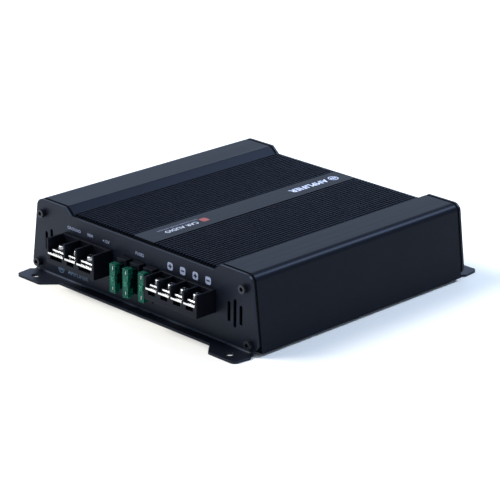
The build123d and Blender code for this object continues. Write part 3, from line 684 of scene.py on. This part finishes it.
def lettering(bm, words, size, place, reads, weight=0.0, spacing=1.0, slant=0.0):
    """Adds printed words, with capitals size tall, centred on a place."""
    capital = 0.73  # height of a capital in the built-in font, as a share of its size
    curve = bpy.data.curves.new("words", "FONT")
    curve.body = words
    curve.size = size / capital
    curve.align_x = "CENTER"
    curve.align_y = "CENTER"
    curve.space_character = spacing
    curve.offset = weight
    curve.shear = slant
    curve.resolution_u = 3
    curve.extrude = settings()[0].print_thickness
    holder = bpy.data.objects.new("words", curve)
    mesh = bpy.data.meshes.new_from_object(holder)
    mesh.transform(axes_at(place, reads))
    bm.from_mesh(mesh)
    bpy.data.objects.remove(holder)
    bpy.data.curves.remove(curve)
    bpy.data.meshes.remove(mesh)


def slab(bm, width, height, place, reads, corner=0.0):
    """Adds a thin printed rectangle, its corners rounded."""
    thickness = 2 * settings()[0].print_thickness
    made_slab = bmesh.ops.create_cube(bm, size=1.0)
    verts = made_slab["verts"]
    bmesh.ops.scale(bm, vec=(width, height, thickness), verts=verts)
    if corner:
        upright = [
            e
            for e in {e for v in verts for e in v.link_edges}
            if abs((e.verts[0].co - e.verts[1].co).normalized().z) > 0.9
        ]
        rounded = bmesh.ops.bevel(
            bm, geom=upright, offset=corner, segments=4, profile=0.5, affect="EDGES", material=-1
        )
        verts = list({v for v in verts if v.is_valid} | set(rounded["verts"]))
    bmesh.ops.transform(bm, matrix=axes_at(place, reads), verts=verts)


def ring(bm, outer, inner, place, reads, turns=40):
    """Adds a thin printed ring."""
    thickness = settings()[0].print_thickness
    before = set(bm.verts)
    corners = [(outer, -thickness), (outer, thickness), (inner, thickness), (inner, -thickness)]
    verts = [bm.verts.new((x, 0, z)) for x, z in corners]
    edges = [bm.edges.new((verts[i], verts[(i + 1) % 4])) for i in range(4)]
    bmesh.ops.spin(
        bm,
        geom=verts + edges,
        axis=(0, 0, 1),
        cent=(0, 0, 0),
        angle=2 * math.pi,
        steps=turns,
        use_merge=True,
    )
    added = [v for v in bm.verts if v not in before]
    faces = list({f for v in added for f in v.link_faces})
    bmesh.ops.recalc_face_normals(bm, faces=faces)
    bmesh.ops.transform(bm, matrix=axes_at(place, reads), verts=added)


# ------------------------------------------------------------------ operators


class AMPLIFIER_OT_casing(bpy.types.Operator):
    """Finned casing, its seals and the base plate"""

    bl_idname = "amplifier.casing"
    bl_label = "Casing"

    def execute(self, context):
        sizes = settings()[0]
        self.casing(sizes)
        refine("bottom_plate", "panel", sizes.sheet_edge)
        dress("front_gasket", "gasket")
        dress("rear_gasket", "gasket")
        return {"FINISHED"}

    def casing(self, sizes):
        """The extrusion, whose fins have nearly round tops."""
        bm = joined("heatsink_casing")
        crown = strip_height() - mm(0.1)
        round_edges(bm, sizes.fin_crown, segments=3, chosen=lambda e: on_fin(e, crown))
        round_edges(bm, sizes.casing_edge, angle=31, chosen=lambda e: not on_fin(e, crown - mm(1.0)))
        mesh = as_mesh(bm, "casing_shape")
        piece = show("casing_shape", mesh, "casing", CHASSIS, ["heatsink_casing"])
        smooth(piece)


class AMPLIFIER_OT_panels(bpy.types.Operator):
    """Bent sheet end panels with their lips and feet"""

    bl_idname = "amplifier.panels"
    bl_label = "End panels"

    def execute(self, context):
        for node in ("front_end_panel", "rear_end_panel"):
            refine(node, "panel", settings()[0].sheet_edge)
        return {"FINISHED"}


class AMPLIFIER_OT_fasteners(bpy.types.Operator):
    """Socket cap screws and countersunk screws on the outside"""

    bl_idname = "amplifier.fasteners"
    bl_label = "Fasteners"

    def execute(self, context):
        for node in ("end_panel_screws", "bottom_plate_screws"):
            refine(node, "black_screw", settings()[0].metal_edge)
        return {"FINISHED"}


class AMPLIFIER_OT_terminals(bpy.types.Operator):
    """Terminal blocks with their plates, clamp washers and screws"""

    bl_idname = "amplifier.terminals"
    bl_label = "Terminals"

    def execute(self, context):
        sizes = settings()[0]
        for title in ("power", "speaker"):
            refine(title + "_terminal_block", "black_plastic", sizes.moulding_edge)
            refine(title + "_terminal_plates", "nickel", sizes.metal_edge)
        for title in TERMINALS:
            refine(title + "_clamp", "nickel", sizes.metal_edge)
            self.screw(title + "_screw", sizes)
        return {"FINISHED"}

    def screw(self, node, sizes):
        """Pan head: its rim rounded much more than the slots in it; its recess and its foot under the head
        get painted shade.
        """
        low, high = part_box(node)
        axis, radius = (low + high) / 2, (high.x - low.x) / 2

        def on_rim(edge):
            return all(
                v.co.z > high.z - mm(0.05) and (v.co.xy - axis.xy).length > radius * 0.9
                for v in edge.verts
            )

        bm = joined(node)
        round_edges(bm, sizes.screw_dome, segments=4, chosen=on_rim)
        round_edges(bm, mm(0.08), angle=40)
        name = node + "_shape"
        piece = show(name, as_mesh(bm, name), "screw_nickel", node, [node])
        # painted shade: the recess's floor and walls, and the faces below the head's rim, are coloured dark
        recess_radius = radius * 0.72
        recess_top, foot_top = high.z - mm(0.25), high.z - mm(1.9)

        def in_painted_shade(centre):
            inside = (centre.xy - axis.xy).length < recess_radius
            return centre.z < (recess_top if inside else foot_top)

        # second slot: dark metal that stands for the shade in the recess and under the head
        paint(piece, "recess", in_painted_shade)
        smooth(piece)


class AMPLIFIER_OT_fuses(bpy.types.Operator):
    """Blade fuses with the metal link inside, and their sockets"""

    bl_idname = "amplifier.fuses"
    bl_label = "Fuses"

    rating: StringProperty(name="Rating", description="Number moulded on each fuse", default="30")

    rim = (mm(0.5), mm(0.4))  # width of the end face's rims, and how far the face sinks between them
    head_depth = mm(4.5)
    strip_margin = mm(9.0)  # how much shorter the link is than the blades are apart
    strip_section = (mm(0.3), mm(1.1))
    strip_bow = mm(1.4)
    strip_inset = mm(2.4)
    tab = (mm(1.1), mm(1.4), mm(2.5))  # blade end seen in a test window
    tab_inset = mm(1.2)
    window_offset = mm(6.6)

    def execute(self, context):
        sizes = settings()[0]
        refine("fuse_sockets", "black_plastic", sizes.moulding_edge)
        dress("fuse_clips", "nickel")
        for fuse in FUSES:
            self.body(fuse, sizes)
            refine(fuse + "_blades", "blade", mm(0.08))
            self.link(fuse)
            self.number(fuse)
        return {"FINISHED"}

    def body(self, fuse, sizes):
        """Body whose end face sinks between moulded rims, and whose shank is darker than its head by painted
        shade.
        """
        node = fuse + "_body"
        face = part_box(node)[0].y
        bm = joined(node)
        end = [f for f in bm.faces if f.normal.y < -0.99 and f.calc_center_median().y < face + mm(0.05)]
        bmesh.ops.inset_region(bm, faces=end, thickness=self.rim[0], depth=-self.rim[1], use_even_offset=True)
        round_edges(bm, sizes.fuse_edge, segments=3)
        body = frame["nodes"][node]["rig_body"]
        name = node + "_shape"
        piece = show(name, as_mesh(bm, name), "fuse_plastic", body, [node])
        # painted shade: faces behind the head get a dark green that stands for the shade of the socket and
        # the blocks around it
        paint(piece, "fuse_shank_painted_shade", lambda c: c.y > face + self.head_depth)
        smooth(piece)

    def link(self, fuse):
        """The thin strip that joins the blades inside the body."""
        low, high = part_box(fuse + "_blades")
        bm = bmesh.new()
        bmesh.ops.create_cube(bm, size=1.0)
        length = high.z - low.z - self.strip_margin
        bmesh.ops.scale(bm, vec=(*self.strip_section, length), verts=bm.verts)
        across = [e for e in bm.edges if abs((e.verts[0].co - e.verts[1].co).normalized().z) > 0.9]
        cut = bmesh.ops.subdivide_edges(bm, edges=across, cuts=8)
        inner = [v for v in cut["geom_inner"] if isinstance(v, bmesh.types.BMVert)]
        for vert in inner:
            vert.co.y += self.strip_bow * math.cos(math.pi * vert.co.z / length)
        middle = Vector(((low.x + high.x) / 2, low.y + self.strip_inset, (low.z + high.z) / 2))
        bmesh.ops.translate(bm, vec=middle, verts=bm.verts)
        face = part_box(fuse + "_body")[0].y
        for side in (-1, 1):
            verts = bmesh.ops.create_cube(bm, size=1.0)["verts"]
            place = (middle.x, face + self.tab_inset, middle.z + side * self.window_offset)
            bmesh.ops.scale(bm, vec=self.tab, verts=verts)
            bmesh.ops.translate(bm, vec=place, verts=verts)
        show(fuse + "_link", as_mesh(bm, fuse + "_link"), "blade", fuse)

    def number(self, fuse):
        """The rating on the end of the body."""
        low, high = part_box(fuse + "_body")
        bm = bmesh.new()
        place = ((low.x + high.x) / 2, low.y - mm(0.01), (low.z + high.z) / 2)
        lettering(bm, self.rating, mm(2.6), place, ((0, 0, -1), (1, 0, 0), (0, -1, 0)), weight=mm(0.05))
        show(fuse + "_rating", as_mesh(bm, fuse + "_rating"), "ink_fuse", fuse)


class AMPLIFIER_OT_rear_controls(bpy.types.Operator):
    """Phono jacks, knobs, switch, remote socket and lamps"""

    bl_idname = "amplifier.rear_controls"
    bl_label = "Rear controls"

    def execute(self, context):
        sizes = settings()[0]
        for node in ("rca_block", "phase_switch_body", "remote_socket", "phase_switch_lever", *KNOBS):
            refine(node, "black_plastic", sizes.moulding_edge)
        for node in KNOBS:
            self.pointer(node)
        refine("rca_shells", "nickel", sizes.metal_edge)
        refine("rca_contacts", "nickel", mm(0.1))
        refine("control_pots", "steel", sizes.metal_edge)
        inserts = (("rca_insert_left", "jack_white"), ("rca_insert_right", "jack_red"))
        lamps = (("protect_lamp", "led_red"), ("power_lamp", "led_blue"))
        self.split("rca_insulators", inserts, "x")
        self.split("led_lenses", lamps, "z")
        return {"FINISHED"}

    def pointer(self, node):
        """Pale paint in the floor of a knob's pointer slot, which shows where the knob stands."""
        low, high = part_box(node)
        slot_rise, slot_floor = mm(2.4), mm(0.5)
        place = ((low.x + high.x) / 2, high.y - slot_floor, (low.z + high.z) / 2 + slot_rise)
        bm = bmesh.new()
        slab(bm, mm(0.8), mm(3.4), place, ON_REAR, mm(0.3))
        show(node + "_pointer", as_mesh(bm, node + "_pointer"), "ink_pale", node)

    def split(self, node, pieces, axis):
        """Parts a node of two like solids into a piece each, so that each has its own colour."""
        low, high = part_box(node)
        middle = (getattr(low, axis) + getattr(high, axis)) / 2
        for side, (name, kind) in enumerate(pieces):
            bm = joined(node)
            away = [v for v in bm.verts if (getattr(v.co, axis) > middle) == (side == 0)]
            bmesh.ops.delete(bm, geom=away, context="VERTS")
            round_edges(bm, mm(0.15))
            piece = show(name, as_mesh(bm, name), kind, CHASSIS, [node])
            smooth(piece)


class AMPLIFIER_OT_inside(bpy.types.Operator):
    """Finishes of the parts on the board, which the vents let light on"""

    bl_idname = "amplifier.inside"
    bl_label = "Inside"

    def execute(self, context):
        finishes = {
            "board": ("main_board", "control_board"),
            "brass_parts": ("board_spacers",),
            "steel": ("board_screws", "clamp_screws"),
            "ferrite": ("transformer_core", "inductor_core"),
            "copper": ("transformer_winding", "inductor_winding"),
            "capacitor_sleeve": ("input_capacitors",),
            "film_box": ("output_capacitors",),
            "black_plastic": ("power_transistors",),
            "pad_rubber": ("insulating_pads",),
            "bar_aluminium": ("clamp_bars",),
        }
        for kind, nodes in finishes.items():
            for node in nodes:
                dress(node, kind)
        return {"FINISHED"}


class AMPLIFIER_OT_print(bpy.types.Operator):
    """Screen print on the top strip and on both end panels"""

    bl_idname = "amplifier.print"
    bl_label = "Print"

    top_line: StringProperty(
        name="Top line",
        description="Words at the far end of the strip",
        default="AMPLIFIER",
    )
    near_line: StringProperty(
        name="Near line",
        description="Bold words on the near half",
        default="CAR AUDIO",
    )
    small_line: StringProperty(
        name="Small line",
        description="Small words beside the bold ones",
        default="TWO CHANNEL POWER AMPLIFIER",
    )

    def execute(self, context):
        self.strip()
        self.front()
        self.rear()
        return {"FINISHED"}

    def emblem(self, bm, radius, place, reads):
        """A ring round five level bars, as on an equaliser."""
        ring(bm, radius, radius * 0.82, place, reads)
        right = Vector(reads[0])
        bar = radius * 0.17
        for step, tall in enumerate((0.5, 0.95, 0.7, 1.05, 0.45)):
            shift = right * (step - 2) * radius * 0.27
            slab(bm, bar, radius * tall, Vector(place) + shift, reads)

    def strip(self):
        """Top strip: far logotype with its emblem, and the near lines with an accent mark."""
        strip_z = strip_height()
        far, near = bmesh.new(), bmesh.new()
        self.emblem(far, mm(3.6), (mm(-0.2), mm(79.0), strip_z), ON_TOP)
        lettering(far, self.top_line, mm(5.2), (mm(-0.3), mm(55.8), strip_z), ON_TOP, mm(0.2), 1.06)
        show("top_logotype_print", as_mesh(far, "top_logotype_print"), "ink_pale", CHASSIS)
        lettering(near, self.near_line, mm(3.6), (mm(0.9), mm(-59.5), strip_z), ON_TOP, mm(0.07), 1.05)
        show("top_bold_print", as_mesh(near, "top_bold_print"), "ink_white", CHASSIS)
        small, accent = bmesh.new(), bmesh.new()
        lettering(small, self.small_line, mm(1.5), (mm(-3.6), mm(-59.0), strip_z), ON_TOP, mm(0.03), 1.05)
        show("top_small_print", as_mesh(small, "top_small_print"), "ink_grey", CHASSIS)
        place = (mm(0.2), mm(-39.5), strip_z)
        slab(accent, mm(5.6), mm(5.6), place, ON_TOP, mm(1.3))
        show("top_accent_print", as_mesh(accent, "top_accent_print"), "ink_accent", CHASSIS)

    def front(self):
        """Terminal side: what each terminal is for."""
        face = front_face() - PRINT_GAP
        words = bmesh.new()
        for label, x in (("GROUND", -61.1), ("REM", -45.7), ("+12V", -30.8), ("FUSES", 0.1)):
            lettering(words, label, mm(2.0), (mm(x), face, mm(37.4)), ON_FRONT, mm(0.06), 1.1)
        show("front_label_print", as_mesh(words, "front_label_print"), "ink_label", CHASSIS)
        squares, signs = bmesh.new(), bmesh.new()
        height, lift = mm(37.2), mm(0.05)  # of the squares, and of the signs over them
        stroke, bar = mm(2.8), mm(1.0)
        for title, sign in zip(sorted(t for t in TERMINALS if t.startswith("speaker")), "+-+-"):
            low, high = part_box(title + "_clamp")
            x = (low.x + high.x) / 2
            slab(squares, mm(4.7), mm(4.9), (x, face, height), ON_FRONT, mm(1.3))
            slab(signs, stroke, bar, (x, face - lift, height), ON_FRONT)
            if sign == "+":
                slab(signs, bar, stroke, (x, face - lift, height), ON_FRONT)
        show("front_sign_squares", as_mesh(squares, "front_sign_squares"), "ink_sign", CHASSIS)
        show("front_sign_print", as_mesh(signs, "front_sign_print"), "ink_dark", CHASSIS)
        dim = bmesh.new()
        self.emblem(dim, mm(2.9), (mm(-74.2), face, mm(7.6)), ON_FRONT)
        lettering(dim, self.top_line, mm(3.0), (mm(-58.0), face, mm(7.2)), ON_FRONT, mm(0.1), 1.04)
        show("front_name_print", as_mesh(dim, "front_name_print"), "ink_dim", CHASSIS)

    def rear(self):
        """Input side: controls and sockets."""
        face = -front_face() + PRINT_GAP
        words = bmesh.new()
        for label, x, z in (
            ("INPUT", -55.0, 36.0),
            ("L", -64.0, 33.0),
            ("R", -46.0, 33.0),
            ("POWER", -30.0, 33.2),
            ("PROTECT", -30.0, 15.6),
            ("LEVEL", -12.0, 35.5),
            ("LOW PASS", 8.0, 35.5),
            ("BASS", 28.0, 35.5),
            ("PHASE", 45.0, 35.5),
            ("REMOTE", 62.0, 35.5),
            ("0", 43.0, 30.6),
            ("180", 47.6, 30.6),
        ):
            lettering(words, label, mm(1.9), (mm(x), face, mm(z)), ON_REAR, mm(0.05), 1.08)
        for name in KNOBS:
            low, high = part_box(name)
            middle = Vector(((low.x + high.x) / 2, face, (low.z + high.z) / 2))
            for step in range(11):
                turn = math.radians(-150 + 30 * step)
                spoke = Vector((-math.sin(turn), 0, math.cos(turn)))
                reads = (spoke.cross(Vector((0, 1, 0))), spoke, (0, 1, 0))
                slab(words, mm(0.35), mm(1.0), middle + spoke * mm(6.4), reads)
        show("rear_label_print", as_mesh(words, "rear_label_print"), "ink_pale", CHASSIS)


def on_fin(edge, above):
    """Whether an edge runs along a fin, above a height."""
    first, second = (v.co for v in edge.verts)
    middle = (first + second) / 2
    along = abs((second - first).normalized().y) > 0.99
    return along and middle.z > above and FIN_ZONE[0] < abs(middle.x) < FIN_ZONE[1]


def front_face():
    """Y of the terminal side panel's face, a screw head's height in from the heads' near side."""
    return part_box("end_panel_screws")[0].y + END_SCREW_HEAD


def strip_height():
    """Height at which print lies on the top strip, read off the casing's middle."""
    points = [v.co for v in frame["nodes"]["heatsink_casing"].data.vertices]
    return max(p.z for p in points if abs(p.x) < STRIP_HALF_WIDTH) + PRINT_GAP


class AMPLIFIER_OT_stage(bpy.types.Operator):
    """Pale floor, soft light and the camera"""

    bl_idname = "amplifier.stage"
    bl_label = "Stage"

    def execute(self, context):
        stage = settings()[2]
        scene = context.scene
        self.floor(scene)
        self.light(scene, stage)
        self.camera(scene, stage)
        scene.view_settings.view_transform = "Standard"
        return {"FINISHED"}

    def floor(self, scene):
        bm = bmesh.new()
        bmesh.ops.create_grid(bm, x_segments=1, y_segments=1, size=8.0)
        floor = bpy.data.objects.new("studio_floor", as_mesh(bm, "studio_floor"))
        floor.data.materials.append(studio_paper())
        scene.collection.objects.link(floor)

    def light(self, scene, stage):
        world = bpy.data.worlds.new("studio")
        world.use_nodes = True
        world.node_tree.nodes["Background"].inputs["Color"].default_value = (*stage.cool, 1)
        world.node_tree.nodes["Background"].inputs["Strength"].default_value = stage.sky
        scene.world = world
        for name, place, size, power, colour in (
            ("key", (-0.9, -0.75, 1.25), 0.9, stage.key, (1.0, 0.98, 0.95)),
            ("sheen", (-1.35, 1.36, 0.74), 1.3, stage.sheen, stage.cool),
            ("edge", (0.45, 0.95, 0.97), 0.35, stage.edge, stage.cool),
        ):
            lamp = bpy.data.lights.new(name, "AREA")
            lamp.shape = "SQUARE"
            lamp.size = size
            lamp.energy = power
            lamp.color = colour
            holder = bpy.data.objects.new(name, lamp)
            holder.location = place
            holder.rotation_euler = (-Vector(place)).to_track_quat("-Z", "Y").to_euler()
            scene.collection.objects.link(holder)

    def camera(self, scene, stage):
        turn, dip, roll = stage.camera_azimuth, stage.camera_elevation, stage.camera_roll
        forward = Vector(
            (-math.sin(turn) * math.cos(dip), math.cos(turn) * math.cos(dip), -math.sin(dip))
        )
        level = Vector((math.cos(turn), math.sin(turn), 0))
        upright = level.cross(forward)
        right = math.cos(roll) * level + math.sin(roll) * upright
        up = math.cos(roll) * upright - math.sin(roll) * level
        lens = bpy.data.cameras.new("camera")
        lens.sensor_width = 36.0
        lens.lens = stage.lens
        lens.clip_end = 50.0
        camera = bpy.data.objects.new("camera", lens)
        matrix = Matrix((right, up, -forward)).transposed().to_4x4()
        matrix.translation = Vector(stage.camera_place)
        camera.matrix_world = matrix
        scene.collection.objects.link(camera)
        scene.camera = camera


class AMPLIFIER_PT_panel(bpy.types.Panel):
    """Lists the amplifier's steps and settings"""

    bl_idname = "AMPLIFIER_PT_panel"
    bl_label = "Amplifier"
    bl_space_type = "VIEW_3D"
    bl_region_type = "UI"
    bl_category = "Amplifier"

    def draw(self, context):
        for operator in OPERATORS:
            self.layout.operator(operator.bl_idname)
        for group in settings():
            for name in group.__annotations__:
                self.layout.prop(group, name)


GROUPS = {
    "amplifier_sizes": AmplifierSizes,
    "amplifier_colours": AmplifierColours,
    "amplifier_stage": AmplifierStage,
}
OPERATORS = (
    AMPLIFIER_OT_casing,
    AMPLIFIER_OT_panels,
    AMPLIFIER_OT_fasteners,
    AMPLIFIER_OT_terminals,
    AMPLIFIER_OT_fuses,
    AMPLIFIER_OT_rear_controls,
    AMPLIFIER_OT_inside,
    AMPLIFIER_OT_print,
    AMPLIFIER_OT_stage,
)


def register():
    """Registers the classes and hangs the settings on the scene."""
    for cls in (*GROUPS.values(), *OPERATORS, AMPLIFIER_PT_panel):
        bpy.utils.register_class(cls)
    for name, group in GROUPS.items():
        setattr(bpy.types.Scene, name, PointerProperty(type=group))


def unregister():
    """Takes the settings and classes away again."""
    for name in GROUPS:
        delattr(bpy.types.Scene, name)
    for cls in (AMPLIFIER_PT_panel, *reversed(OPERATORS), *reversed(tuple(GROUPS.values()))):
        bpy.utils.unregister_class(cls)


def main():
    register()
    for operator in OPERATORS:
        group, name = operator.bl_idname.split(".")
        getattr(getattr(bpy.ops, group), name)()


if __name__ == "__main__":
    main()
